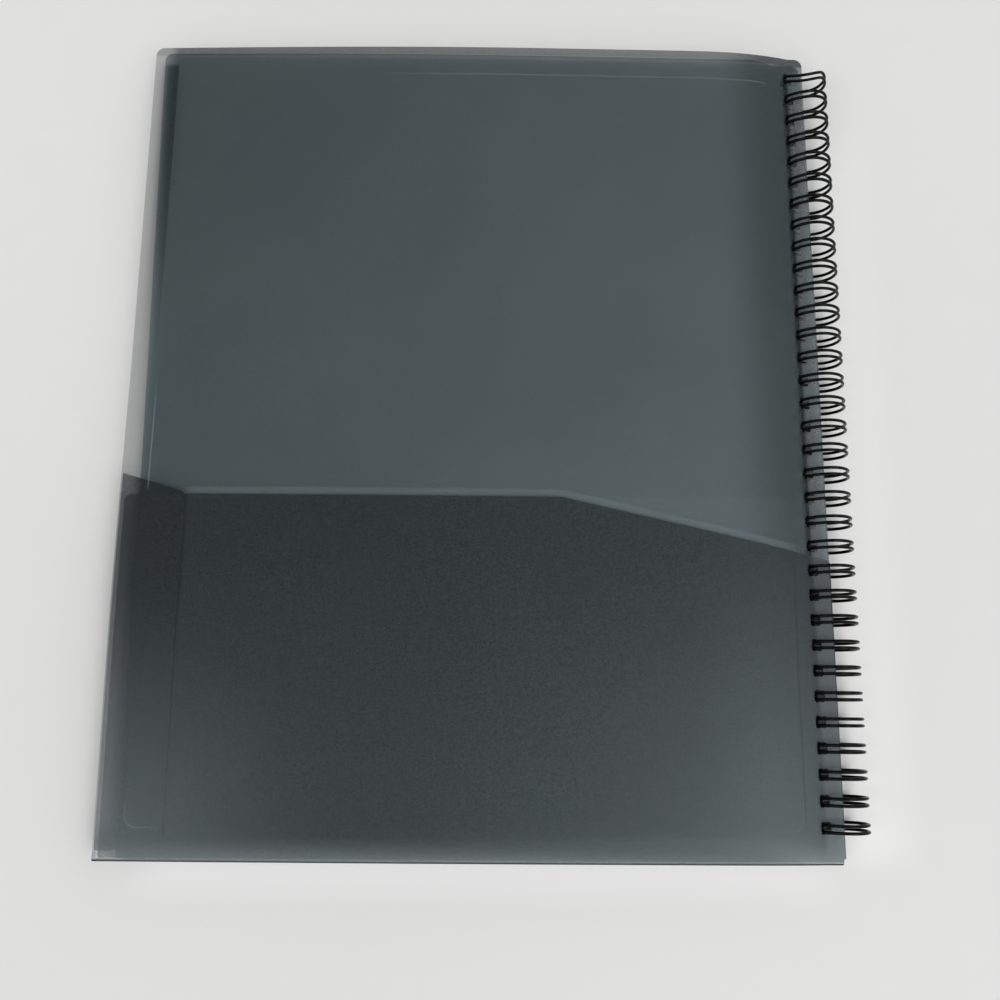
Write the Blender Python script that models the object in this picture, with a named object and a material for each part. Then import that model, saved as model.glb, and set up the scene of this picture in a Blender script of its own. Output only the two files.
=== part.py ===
"""Wire-bound pocket portfolio, closed and lying on its front cover.

Two covers and three dividers of smoke-grey polypropylene hang on one black
twin-loop wire. Each leaf carries its pockets. X runs across the width with the
binding at +X, Y runs towards the top of the product, and Z is up. All lengths
are in metres. The origin is under the middle of the closed portfolio.
"""

import math

import bmesh
import bpy
from mathutils import Vector

# Leaves
COVER_WIDTH = 0.2428
COVER_HEIGHT = 0.2911
COVER_THICKNESS = 0.0005
COVER_CORNER_RADIUS = 0.003
FOLD_CORNER = 0.0016
DIVIDER_WIDTH = 0.2393
DIVIDER_THICKNESS = 0.0003
DIVIDER_COUNT = 3
LAYER_GAP = 0.0003

# Pockets, measured from the bottom edge and from the spine edge
POCKET_DEPTH = 0.1211
POCKET_DEPTH_AT_SPINE = 0.0999
POCKET_SLOPE_LENGTH = 0.0889
POCKET_EDGE_INSET = 0.0013
POCKET_CORNER_RADIUS = 0.0025
DIVIDER_POCKET_SEAM = 0.001
TAB_WIDTH = 0.022
TAB_RISE = 0.0065
TAB_EDGE_INSET = 0.0002
TAB_FOOT = 0.0033
TAB_FOOT_LEVEL = 0.010
TAB_FOOT_SLANT = 0.0045

# Punching
HOLE_PITCH = 0.0254 / 3
HOLE_WIDTH = 0.0036
HOLE_HEIGHT = 0.0040
HOLE_TO_SPINE_EDGE = 0.0056
FIRST_HOLE_FROM_BOTTOM = 0.0116
TOP_MARGIN = 0.008
HOLE_STRIP_MARGIN = 0.0014

# Twin-loop wire
WIRE_DIAMETER = 0.0011
RING_DIAMETER = 0.0152
LEG_SPACING = 0.0022
CROWN_GAP = 0.00075
SPAN_CORNER = 0.0006
CUT_END_LENGTH = 0.003
LEG_STEPS = 8
CROWN_STEPS = 3

# How the leaves lie
FRONT_HOLE_HEIGHT = 0.00295
LEAF_RAMP = 0.0105
LEAF_GAP_AT_HOLES = 0.0006
SPAN_GAP = 0.0003
BACK_BOW = 0.0044
BACK_BOW_RISE = 0.6
BACK_RAMP = 0.0205
BACK_SPINE_SLACK = 0.0003
BOW_STATIONS = 6
RAMP_STATIONS = 4
BEND_OVERHANG = 0.001
FOLD_STEPS = 4
CORNER_STEPS = 3

HOLE_STRIP = HOLE_TO_SPINE_EDGE + HOLE_WIDTH / 2 + HOLE_STRIP_MARGIN
RING_RADIUS = RING_DIAMETER / 2
WIRE_RADIUS = WIRE_DIAMETER / 2
RING_OUTSIDE = RING_RADIUS + WIRE_RADIUS
AXIS_HEIGHT = RING_OUTSIDE
HOLE_COUNT = 1 + int((COVER_HEIGHT - FIRST_HOLE_FROM_BOTTOM - TOP_MARGIN) / HOLE_PITCH)

# Middle height of every layer where the stack lies flat
COVER_PITCH = COVER_THICKNESS + LAYER_GAP
DIVIDER_PITCH = DIVIDER_THICKNESS + LAYER_GAP
FRONT_COVER_FLAT = COVER_THICKNESS / 2
FRONT_TAB_FLAT = FRONT_COVER_FLAT + COVER_PITCH
FRONT_POCKET_FLAT = FRONT_TAB_FLAT + COVER_PITCH
FRONT_STACK_TOP = FRONT_POCKET_FLAT + COVER_THICKNESS / 2
DIVIDER_FLATS = [
    FRONT_STACK_TOP + LAYER_GAP + DIVIDER_THICKNESS / 2 + (3 * i + 1) * DIVIDER_PITCH
    for i in range(DIVIDER_COUNT)
]
DIVIDER_STACK_TOP = FRONT_STACK_TOP + 3 * DIVIDER_COUNT * DIVIDER_PITCH
BACK_POCKET_FLAT = DIVIDER_STACK_TOP + LAYER_GAP + COVER_THICKNESS / 2
BACK_TAB_FLAT = BACK_POCKET_FLAT + COVER_PITCH
BACK_COVER_FLAT = BACK_TAB_FLAT + COVER_PITCH

# Middle height of every punched layer at the row of holes
FRONT_POCKET_AT_HOLES = FRONT_HOLE_HEIGHT + COVER_PITCH
DIVIDERS_AT_HOLES = [
    FRONT_POCKET_AT_HOLES
    + (COVER_THICKNESS + DIVIDER_THICKNESS) / 2
    + LEAF_GAP_AT_HOLES
    + i * (DIVIDER_THICKNESS + LEAF_GAP_AT_HOLES)
    for i in range(DIVIDER_COUNT)
]
SPAN_HEIGHT = DIVIDERS_AT_HOLES[-1] + DIVIDER_THICKNESS / 2 + SPAN_GAP + WIRE_RADIUS
BACK_POCKET_AT_HOLES = SPAN_HEIGHT + WIRE_RADIUS + 2 * SPAN_GAP + COVER_THICKNESS / 2
BACK_COVER_AT_HOLES = BACK_POCKET_AT_HOLES + COVER_PITCH

# The fold that carries each cover's pocket
FOLD_RADIUS = COVER_PITCH
FOLD_LINE = FOLD_RADIUS + COVER_THICKNESS / 2
FOLD_STRIP = math.pi * FOLD_RADIUS


def leg_angles():
    """Angles round the ring axis of one leg, from the span to the closed crown."""
    span = math.pi + math.asin((AXIS_HEIGHT - SPAN_HEIGHT) / RING_RADIUS)
    tip = span - (WIRE_DIAMETER + CROWN_GAP) / RING_RADIUS + 2 * math.pi
    start = span + SPAN_CORNER / RING_RADIUS
    end = tip - LEG_SPACING / 2 / RING_RADIUS
    return span, start, end


SPAN_ANGLE, LEG_START, LEG_END = leg_angles()
CHORD_RADIUS = RING_RADIUS * math.cos((LEG_END - LEG_START) / LEG_STEPS / 2)


def hole_offset(lowest, highest):
    """Distance from the ring axis to the holes of a leaf that lies between two heights."""
    drops = (lowest - AXIS_HEIGHT, highest - AXIS_HEIGHT)
    near = 0 if drops[0] * drops[1] < 0 else min(abs(drops[0]), abs(drops[1]))
    far = max(abs(drops[0]), abs(drops[1]))
    outer = math.sqrt(RING_OUTSIDE**2 - near**2)
    inner = math.sqrt((CHORD_RADIUS - WIRE_RADIUS) ** 2 - far**2)
    return (outer + inner) / 2


FRONT_SPINE = HOLE_TO_SPINE_EDGE - hole_offset(
    FRONT_HOLE_HEIGHT - COVER_THICKNESS / 2, FRONT_POCKET_AT_HOLES + COVER_THICKNESS / 2
)
DIVIDER_SPINES = [
    HOLE_TO_SPINE_EDGE - hole_offset(z - DIVIDER_THICKNESS / 2, z + DIVIDER_THICKNESS / 2)
    for z in DIVIDERS_AT_HOLES
]
BACK_SPINE = BACK_SPINE_SLACK + HOLE_TO_SPINE_EDGE - hole_offset(
    BACK_POCKET_AT_HOLES - COVER_THICKNESS / 2, BACK_COVER_AT_HOLES + COVER_THICKNESS / 2
)
AXIS_X = (COVER_WIDTH - BACK_SPINE - RING_OUTSIDE) / 2
BOTTOM_Y = -COVER_HEIGHT / 2


def smooth(u):
    """Ease from 0 to 1 as u goes from 0 to 1."""
    u = min(1.0, max(0.0, u))
    return u * u * (3 - 2 * u)


def stepped(stations, height):
    """A height that is straight between stations, so that bent sheets have flat facets."""
    levels = [height(s) for s in stations]

    def at(s):
        for i in range(len(stations) - 1):
            if s <= stations[i + 1]:
                share = (s - stations[i]) / (stations[i + 1] - stations[i])
                return levels[i] + share * (levels[i + 1] - levels[i])
        return levels[-1]

    return at


def ramp_stations(ramp):
    return [HOLE_STRIP + ramp * i / RAMP_STATIONS for i in range(RAMP_STATIONS + 1)]


def leaf_bend(flat, at_holes):
    """A leaf that is flat, then rises or drops to the row of holes near the spine."""
    stations = [-BEND_OVERHANG] + ramp_stations(LEAF_RAMP) + [COVER_WIDTH + BEND_OVERHANG]

    def height(s):
        return at_holes + (flat - at_holes) * smooth((s - HOLE_STRIP) / LEAF_RAMP)

    return stations, stepped(stations, height)


def back_bend(flat, at_holes):
    """The back cover bows up across its width and is drawn down to the row of holes."""
    bow_start = HOLE_STRIP + BACK_RAMP
    rest = COVER_WIDTH + BEND_OVERHANG - bow_start
    stations = [-BEND_OVERHANG] + ramp_stations(BACK_RAMP)
    stations += [bow_start + rest * (i + 1) / BOW_STATIONS for i in range(BOW_STATIONS)]

    def height(s):
        from_free_edge = max(0.0, COVER_WIDTH - s) / (COVER_WIDTH * BACK_BOW_RISE)
        crown = flat + BACK_BOW * math.sin(math.pi / 2 * min(1.0, from_free_edge))
        return at_holes + (crown - at_holes) * smooth((s - HOLE_STRIP) / BACK_RAMP)

    return stations, stepped(stations, height)


def material(name, colour, roughness, metallic=0.0):
    made = bpy.data.materials.new(name)
    made.use_nodes = True
    shader = made.node_tree.nodes["Principled BSDF"]
    shader.inputs["Base Color"].default_value = (*colour, 1.0)
    shader.inputs["Roughness"].default_value = roughness
    shader.inputs["Metallic"].default_value = metallic
    made.diffuse_color = (*colour, 1.0)
    return made


def rounded(corners, radii):
    """Replace each corner of an outline by an arc of its radius."""
    points = []
    count = len(corners)
    for i, radius in enumerate(radii):
        corner = Vector(corners[i])
        if radius == 0:
            points.append(corner)
            continue
        before = (Vector(corners[i - 1]) - corner).normalized()
        after = (Vector(corners[(i + 1) % count]) - corner).normalized()
        half = before.angle(after) / 2
        middle = corner + (before + after).normalized() * radius / math.sin(half)
        first = corner + before * radius / math.tan(half) - middle
        last = corner + after * radius / math.tan(half) - middle
        turn = first.angle_signed(last)
        for k in range(CORNER_STEPS + 1):
            angle = math.atan2(first.y, first.x) - turn * k / CORNER_STEPS
            points.append(middle + radius * Vector((math.cos(angle), math.sin(angle))))
    return points


def flat_sheet(name, outline, thickness):
    """A closed mesh of the outline, centred on z = 0."""
    curve = bpy.data.curves.new(name + "_outline", "CURVE")
    curve.dimensions = "2D"
    curve.fill_mode = "BOTH"
    curve.extrude = thickness / 2
    spline = curve.splines.new("POLY")
    spline.points.add(len(outline) - 1)
    for point, place in zip(spline.points, outline):
        point.co = (place.x, place.y, 0, 1)
    spline.use_cyclic_u = True
    drawn = bpy.data.objects.new(name + "_outline", curve)
    bpy.context.scene.collection.objects.link(drawn)
    depsgraph = bpy.context.evaluated_depsgraph_get()
    mesh = bpy.data.meshes.new_from_object(drawn.evaluated_get(depsgraph))
    bpy.data.objects.remove(drawn)
    sheet = bmesh.new()
    sheet.from_mesh(mesh)
    bmesh.ops.remove_doubles(sheet, verts=sheet.verts, dist=1e-6)
    bmesh.ops.dissolve_limit(
        sheet, angle_limit=0.01, verts=sheet.verts, edges=sheet.edges
    )
    bmesh.ops.recalc_face_normals(sheet, faces=sheet.faces)
    return sheet, mesh


def cut_across(sheet, point, normal):
    geometry = sheet.verts[:] + sheet.edges[:] + sheet.faces[:]
    bmesh.ops.bisect_plane(
        sheet, geom=geometry, dist=1e-7, plane_co=point, plane_no=normal
    )


def folded(y, offset, flat, other):
    """Where a point of the strip below the fold line lands once it is folded over.

    flat and other are the heights of the pocket and of the sheet it folds from.
    """
    side = 1 if other > flat else -1
    radius = abs(other - flat) / 2
    angle = math.pi * -y / FOLD_STRIP
    reach = radius - side * offset
    return FOLD_LINE - reach * math.sin(angle), flat + side * (radius - reach * math.cos(angle))


def bent_sheet(name, outline, thickness, bend, other_bend=None):
    """A sheet laid along its bend, and folded over at its bottom where it has a fold."""
    stations, height = bend
    sheet, mesh = flat_sheet(name, outline, thickness)
    for s in stations[1:-1]:
        cut_across(sheet, (-s, 0, 0), (1, 0, 0))
    if other_bend:
        for i in range(FOLD_STEPS):
            cut_across(sheet, (0, -FOLD_STRIP * i / FOLD_STEPS, 0), (0, 1, 0))
    for vert in sheet.verts:
        level = height(-vert.co.x)
        offset = vert.co.z
        if other_bend and vert.co.y < 0:
            vert.co.y, vert.co.z = folded(
                vert.co.y, offset, level, other_bend[1](-vert.co.x)
            )
        elif other_bend:
            vert.co.y += FOLD_LINE
            vert.co.z = level + offset
        else:
            vert.co.z = level + offset
    bmesh.ops.triangulate(sheet, faces=[f for f in sheet.faces if len(f.verts) > 4])
    sheet.to_mesh(mesh)
    sheet.free()
    mesh.name = name
    return mesh


def place(name, mesh, owner, spine, paint):
    """Hang a sheet on its leaf's empty, with its spine edge at the given distance."""
    made = bpy.data.objects.new(name, mesh)
    PARTS.objects.link(made)
    made.parent = owner
    made.location = (spine, BOTTOM_Y, -AXIS_HEIGHT)
    mesh.materials.clear()
    mesh.materials.append(paint)
    mesh.shade_flat()
    return made


def leaf_axis(name, parent=None):
    """An empty on the ring axis, which the pieces of one leaf turn with."""
    empty = bpy.data.objects.new(name, None)
    PARTS.objects.link(empty)
    if parent:
        empty.parent = parent
    else:
        empty.location = (AXIS_X, 0, AXIS_HEIGHT)
    return empty


def hole_cutter(name, owner, spine):
    """One box for each hole of a leaf."""
    mesh = bpy.data.meshes.new(name)
    boxes = bmesh.new()
    for i in range(HOLE_COUNT):
        made = bmesh.ops.create_cube(boxes, size=1)
        middle = Vector((-HOLE_TO_SPINE_EDGE, FIRST_HOLE_FROM_BOTTOM + i * HOLE_PITCH, 0))
        for vert in made["verts"]:
            vert.co.x *= HOLE_WIDTH
            vert.co.y *= HOLE_HEIGHT
            vert.co.z *= 4 * RING_OUTSIDE
            vert.co += middle
    boxes.to_mesh(mesh)
    boxes.free()
    cutter = bpy.data.objects.new(name, mesh)
    CUTTERS.objects.link(cutter)
    cutter.parent = owner
    cutter.location = (spine, BOTTOM_Y, 0)
    cutter.display_type = "WIRE"
    cutter.hide_render = True
    return cutter


def punch(sheet, cutter):
    cut = sheet.modifiers.new("holes", "BOOLEAN")
    cut.operation = "DIFFERENCE"
    cut.object = cutter


def cover_outline():
    foot = FOLD_LINE + LAYER_GAP
    corners = [(-COVER_WIDTH, foot), (0, foot), (0, COVER_HEIGHT), (-COVER_WIDTH, COVER_HEIGHT)]
    return rounded(corners, [FOLD_CORNER] * 2 + [COVER_CORNER_RADIUS] * 2)


def pocket_outline(left, right, foot, datum):
    """A pocket's front, level at the free edge and falling towards the spine.

    foot is its lower edge, and datum the height of the outline's own zero.
    """
    fall = (POCKET_DEPTH - POCKET_DEPTH_AT_SPINE) / POCKET_SLOPE_LENGTH
    mouth = POCKET_DEPTH - datum
    corners = [
        (left, foot),
        (right, foot),
        (right, mouth - fall * (POCKET_SLOPE_LENGTH + right)),
        (-POCKET_SLOPE_LENGTH, mouth),
        (left, mouth),
    ]
    return rounded(corners, [0, 0, 0, 0, POCKET_CORNER_RADIUS])


def cover_pocket_outline():
    """The pocket's front with the strip that folds round the bottom edge."""
    body = pocket_outline(POCKET_EDGE_INSET - COVER_WIDTH, 0, 0, FOLD_LINE)
    left = FOLD_CORNER - COVER_WIDTH
    right = -FOLD_CORNER
    chamfer = FOLD_CORNER - FOLD_LINE
    strip = [
        Vector((body[0].x, chamfer)),
        Vector((left, 0)),
        Vector((left, -FOLD_STRIP)),
        Vector((right, -FOLD_STRIP)),
        Vector((right, 0)),
        Vector((0, chamfer)),
    ]
    return strip + body[2:]


def tab_outline():
    left = TAB_EDGE_INSET - COVER_WIDTH
    right = TAB_WIDTH - COVER_WIDTH
    return [
        Vector((left, TAB_FOOT)),
        Vector((left + TAB_FOOT_LEVEL, TAB_FOOT)),
        Vector((right, TAB_FOOT + TAB_FOOT_SLANT)),
        Vector((right, POCKET_DEPTH)),
        Vector((left, POCKET_DEPTH + TAB_RISE)),
    ]


def divider_outline():
    corners = [
        (-DIVIDER_WIDTH, LAYER_GAP),
        (0, LAYER_GAP),
        (0, COVER_HEIGHT - LAYER_GAP),
        (-DIVIDER_WIDTH, COVER_HEIGHT - LAYER_GAP),
    ]
    return rounded(corners, [COVER_CORNER_RADIUS] * 4)


def build_cover(side, owner, spine, bends, paints):
    """A cover, the pocket folded up from its bottom edge and the pocket's side tab."""
    cover_bend, tab_bend, pocket_bend = bends
    cutter = hole_cutter(side + "_holes", owner, spine)
    mesh = bent_sheet(side + "_cover", cover_outline(), COVER_THICKNESS, cover_bend)
    punch(place(side + "_cover", mesh, owner, spine, paints[0]), cutter)
    mesh = bent_sheet(side + "_pocket_tab", tab_outline(), COVER_THICKNESS, tab_bend)
    place(side + "_pocket_tab", mesh, owner, spine, paints[1])
    mesh = bent_sheet(
        side + "_pocket", cover_pocket_outline(), COVER_THICKNESS, pocket_bend, cover_bend
    )
    punch(place(side + "_pocket", mesh, owner, spine, paints[2]), cutter)


def build_divider(number, owner, paints):
    """A divider with one pocket on each face."""
    spine = DIVIDER_SPINES[number]
    flat = DIVIDER_FLATS[number]
    name = "divider_" + str(number + 1)
    cutter = hole_cutter(name + "_holes", owner, spine)
    mesh = bent_sheet(
        name, divider_outline(), DIVIDER_THICKNESS, leaf_bend(flat, DIVIDERS_AT_HOLES[number])
    )
    punch(place(name, mesh, owner, spine, paints[0]), cutter)
    left = POCKET_EDGE_INSET - DIVIDER_WIDTH
    right = -(HOLE_STRIP + LEAF_RAMP + DIVIDER_POCKET_SEAM)
    outline = pocket_outline(left, right, 2 * LAYER_GAP, 0)
    for face, side in (("_front_pocket", -1), ("_back_pocket", 1)):
        level = flat + side * DIVIDER_PITCH
        mesh = bent_sheet(name + face, outline, DIVIDER_THICKNESS, leaf_bend(level, level))
        place(name + face, mesh, owner, spine, paints[1])


def ring_point(y, angle):
    return Vector((RING_RADIUS * math.cos(angle), y, RING_RADIUS * math.sin(angle)))


def hairpin(y):
    """One doubled loop: out of a span, round the ring, over the crown and back."""
    half = LEG_SPACING / 2
    leg = [LEG_START + (LEG_END - LEG_START) * i / LEG_STEPS for i in range(LEG_STEPS)]
    points = [ring_point(y + half + SPAN_CORNER, SPAN_ANGLE)]
    points += [ring_point(y + half, angle) for angle in leg]
    for i in range(CROWN_STEPS + 1):
        turn = math.pi * i / CROWN_STEPS
        angle = LEG_END + half * math.sin(turn) / RING_RADIUS
        points.append(ring_point(y + half * math.cos(turn), angle))
    points += [ring_point(y - half, angle) for angle in reversed(leg)]
    points.append(ring_point(y - half - SPAN_CORNER, SPAN_ANGLE))
    return points


def wire_path():
    """The whole wire as one line, from the cut end at the top to the one at the bottom."""
    last = BOTTOM_Y + FIRST_HOLE_FROM_BOTTOM
    points = []
    for i in reversed(range(HOLE_COUNT)):
        points += hairpin(last + i * HOLE_PITCH)
    end = LEG_SPACING / 2 + CUT_END_LENGTH
    top = ring_point(last + (HOLE_COUNT - 1) * HOLE_PITCH + end, SPAN_ANGLE)
    return [top] + points + [ring_point(last - end, SPAN_ANGLE)]


def least_gap(points):
    """The least clear distance of the wire to itself, on samples along its line."""
    samples = []
    length = 0.0
    for a, b in zip(points, points[1:]):
        steps = max(1, round((b - a).length / (WIRE_RADIUS / 2)))
        for i in range(steps):
            samples.append((length + (b - a).length * i / steps, a.lerp(b, i / steps)))
        length += (b - a).length
    near = math.pi * LEG_SPACING / 2 + 2 * WIRE_DIAMETER
    least = RING_DIAMETER
    window = 2 * len(samples) // HOLE_COUNT
    for i, (along, place_i) in enumerate(samples):
        for other, place_j in samples[i + 1:i + window]:
            if other - along > near:
                least = min(least, (place_i - place_j).length)
    return least - WIRE_DIAMETER


def build_wire(owner, paint):
    points = wire_path()
    print("least gap of the wire to itself, mm:", round(least_gap(points) * 1000, 3))
    curve = bpy.data.curves.new("twin_loop_wire", "CURVE")
    curve.dimensions = "3D"
    curve.bevel_depth = WIRE_RADIUS
    curve.bevel_resolution = 1
    curve.use_fill_caps = True
    spline = curve.splines.new("POLY")
    spline.points.add(len(points) - 1)
    for point, spot in zip(spline.points, points):
        point.co = (*spot, 1)
    curve.materials.append(paint)
    wire = bpy.data.objects.new("twin_loop_wire", curve)
    PARTS.objects.link(wire)
    wire.parent = owner


def collection(name):
    made = bpy.data.collections.new(name)
    bpy.context.scene.collection.children.link(made)
    return made


for old in list(bpy.data.objects):
    bpy.data.objects.remove(old)
PARTS = collection("pocket_portfolio")
CUTTERS = collection("cutters")


def build():
    cover_paint = material("cover_polypropylene", (0.075, 0.095, 0.1), 0.42)
    tab_paint = material("tab_polypropylene", (0.09, 0.11, 0.115), 0.45)
    pocket_paint = material("pocket_polypropylene", (0.06, 0.076, 0.08), 0.42)
    divider_paint = material("divider_polypropylene", (0.11, 0.125, 0.13), 0.45)
    divider_pocket_paint = material("divider_pocket_polypropylene", (0.1, 0.115, 0.12), 0.45)
    wire_paint = material("black_coated_wire", (0.012, 0.012, 0.013), 0.25)
    paints = (cover_paint, tab_paint, pocket_paint)

    leaf = leaf_axis("front_cover_axis")
    bends = (
        leaf_bend(FRONT_COVER_FLAT, FRONT_HOLE_HEIGHT),
        leaf_bend(FRONT_TAB_FLAT, FRONT_TAB_FLAT),
        leaf_bend(FRONT_POCKET_FLAT, FRONT_POCKET_AT_HOLES),
    )
    build_cover("front", leaf, FRONT_SPINE, bends, paints)
    for number in range(DIVIDER_COUNT):
        leaf = leaf_axis("divider_" + str(number + 1) + "_axis", leaf)
        build_divider(number, leaf, (divider_paint, divider_pocket_paint))
    leaf = leaf_axis("wire_axis", leaf)
    build_wire(leaf, wire_paint)
    leaf = leaf_axis("back_cover_axis", leaf)
    bends = (
        back_bend(BACK_COVER_FLAT, BACK_COVER_AT_HOLES),
        back_bend(BACK_TAB_FLAT, BACK_TAB_FLAT),
        back_bend(BACK_POCKET_FLAT, BACK_POCKET_AT_HOLES),
    )
    build_cover("back", leaf, BACK_SPINE, bends, paints)


build()
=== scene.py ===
"""Looks of the pocket portfolio: fine sheets, a round wire, materials, light and camera.

Every sheet and the wire are built again with finer bends over the CAD part's plan,
with the small changes named below. Lengths are in metres, in the CAD frame: X towards
the binding, Y towards the top of the product, Z up.
"""

import math

import bmesh
import bpy
from mathutils import Euler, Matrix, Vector


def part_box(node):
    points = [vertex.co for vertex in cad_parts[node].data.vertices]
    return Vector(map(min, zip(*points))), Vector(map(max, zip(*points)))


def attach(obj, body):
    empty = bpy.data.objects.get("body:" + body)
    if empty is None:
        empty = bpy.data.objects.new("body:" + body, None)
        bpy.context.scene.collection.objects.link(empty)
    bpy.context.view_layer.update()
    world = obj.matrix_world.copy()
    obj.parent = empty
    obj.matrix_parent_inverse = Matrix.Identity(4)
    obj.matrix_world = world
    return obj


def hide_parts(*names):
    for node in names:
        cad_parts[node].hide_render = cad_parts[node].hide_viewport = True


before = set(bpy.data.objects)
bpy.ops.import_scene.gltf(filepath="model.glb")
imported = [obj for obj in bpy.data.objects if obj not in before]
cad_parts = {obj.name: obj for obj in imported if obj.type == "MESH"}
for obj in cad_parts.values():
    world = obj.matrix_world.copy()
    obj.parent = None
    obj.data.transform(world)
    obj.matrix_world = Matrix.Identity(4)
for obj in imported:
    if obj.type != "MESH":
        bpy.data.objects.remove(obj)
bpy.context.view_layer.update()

# Camera, fitted to the photograph's holes, rings and corners
CAMERA_PLACE = (-0.002312, -0.097609, 0.363481)
CAMERA_TURN = (0.1998, -0.0190, 0.0077)
CAMERA_LENS = 37.67
CAMERA_SENSOR = 36.0
CAMERA_CLIP = 0.01

# Plan of the leaves, as in the CAD part
COVER_WIDTH = 0.2428
COVER_HEIGHT = 0.2911
COVER_THICKNESS = 0.0005
CORNER_RADIUS = 0.003
DIVIDER_WIDTH = 0.2393
DIVIDER_THICKNESS = 0.0003
DIVIDER_COUNT = 3
LAYER_GAP = 0.0003
POCKET_DEPTH = 0.1211
POCKET_DEPTH_AT_SPINE = 0.0999
POCKET_EDGE_INSET = 0.0013
POCKET_CORNER_RADIUS = 0.0025
DIVIDER_POCKET_SEAM = 0.001
TAB_WIDTH = 0.022
TAB_RISE = 0.0065
TAB_EDGE_INSET = 0.0002
TAB_FOOT = 0.0033
TAB_FOOT_LEVEL = 0.010
TAB_FOOT_SLANT = 0.0045
HOLE_PITCH = 0.0254 / 3
HOLE_COUNT = 33
HOLE_WIDTH = 0.0036
HOLE_HEIGHT = 0.0040
HOLE_TO_SPINE_EDGE = 0.0056
FIRST_HOLE = 0.0116
HOLE_STRIP = 0.0088
BOTTOM_Y = -COVER_HEIGHT / 2

# Ring axis and wire. The ring is 0.125 mm smaller and 0.075 mm lower than the CAD
# part's, whose loops are chords of it, so that the round loops stay in the CAD box.
AXIS_X = 0.11798
AXIS_Z = 0.008075
RING_RADIUS = 0.007475
WIRE_RADIUS = 0.00055
SPAN_HEIGHT = 0.00755
LEG_SPACING = 0.0022
CROWN_GAP = 0.00075
SPAN_CORNER = 0.0006
CUT_END = 0.003

# How the leaves lie: middle heights where flat and at the row of holes
COVER_PITCH = COVER_THICKNESS + LAYER_GAP
DIVIDER_PITCH = DIVIDER_THICKNESS + LAYER_GAP
FRONT_COVER_Z = 0.00025
FRONT_TAB_Z = FRONT_COVER_Z + COVER_PITCH
FRONT_POCKET_Z = FRONT_TAB_Z + COVER_PITCH
DIVIDER_Z = (0.00315, 0.00495, 0.00675)
BACK_POCKET_Z = 0.00805
BACK_TAB_Z = BACK_POCKET_Z + COVER_PITCH
BACK_COVER_Z = BACK_TAB_Z + COVER_PITCH
FRONT_HOLES_Z = 0.00295
DIVIDER_HOLES_Z = (0.00475, 0.00565, 0.00655)
BACK_POCKET_HOLES_Z = 0.00895
LEAF_RAMP = 0.0105
BACK_BOW = 0.0044
BACK_BOW_RISE = 0.6

# What only the look has, from here to LOOP_END_SHARE. Small corners are rounded, and
# the fold belongs to the cover, in place of its pocket, whose foot meets it.
FREE_FOLD_CORNER = 0.0022
SPINE_FOLD_CORNER = 0.0035
POCKET_FOOT_RADIUS = 0.0006
POCKET_FOOT_GAP = 0.00005
POCKET_BEND_RADIUS = 0.004
TAB_RADII = (0.0003, 0.004, 0.001, 0.002, 0.0003)
HOLE_CORNER = 0.0006

# The pockets' mouths sag, the back leaf falls to its holes in a convex curve, its free
# edge lifts where the pocket is slack, and the bow flattens towards the fold
MOUTH_DEPTH = 0.1204
MOUTH_SLOPE_LENGTH = 0.0919
BACK_RAMP_START = 0.0052
BACK_RAMP_END = 0.045
BACK_RAMP_POWER = 2.5
EDGE_LIFT = 0.0018
EDGE_LIFT_MIDDLE = -0.058
EDGE_LIFT_REACH = 0.092
FOLD_EASE = 0.009
FOLD_FLATTENING = 0.5

# The lower leaves lie slightly askew and hang over by their play on the wire, with
# wider holes, and the dividers bow too
LEAF_END = 0.03
FRONT_SKEW = 0.0031
FRONT_EDGE_SHIFT = 0.0014
DIVIDER_SKEW = (0.0030, 0.0036, 0.0052)
DIVIDER_EDGE_SHIFT = (0.0006, 0.0010, 0.0018)
DIVIDER_BOW = (0.0014, 0.0022, 0.0031)
HOLE_PLAY = 0.0009
LOWER_HOLE_EXTRA = 0.0006
FRONT_HOLE_EXTRA = 0.0012
PLAY_END = 0.143
PLAY_EASE = 0.02

# The top loops lean where no hole is at either end of a turn, and every loop is tucked
# in at its span and reaches out at its crown
LOOP_LEAN = (0.0023, 0.0006, 0.0007, 0.0005)
LEAN_FROM = math.radians(407)
LEAN_TO = math.radians(526)
LEAN_POWER = 1.2
SPAN_TUCK = 0.0005
CROWN_REACH = 0.0007
LOOP_END_SHARE = 0.12

# Where each cover's fold begins, and the strip it takes up
FOLD_LINE = COVER_PITCH + COVER_THICKNESS / 2
FOLD_STRIP = math.pi * COVER_PITCH
FOLD_STEPS = 14


def ease(u):
    """Ease from 0 to 1 as u goes from 0 to 1."""
    u = min(1.0, max(0.0, u))
    return u * u * (3 - 2 * u)


def bowed(s, y, rise):
    """Rise of a bowed leaf, which flattens towards the fold.

    The second value is the way in from the free edge, and is 1 at the bow's crown.
    """
    from_free_edge = max(0.0, COVER_WIDTH - s) / (COVER_WIDTH * BACK_BOW_RISE)
    near_fold = max(0.0, 1 - (y - BOTTOM_Y) / FOLD_EASE) ** 2
    flattened = rise * (1 - FOLD_FLATTENING * near_fold)
    return flattened * math.sin(math.pi / 2 * min(1.0, from_free_edge)), from_free_edge


def front_bend(flat, at_holes, bow=0.0):
    """Height of a lower leaf at a distance from its spine edge."""
    def height(s, y):
        crown = flat + bowed(s, y, bow)[0]
        return at_holes + (crown - at_holes) * ease((s - HOLE_STRIP) / LEAF_RAMP)
    return height


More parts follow.
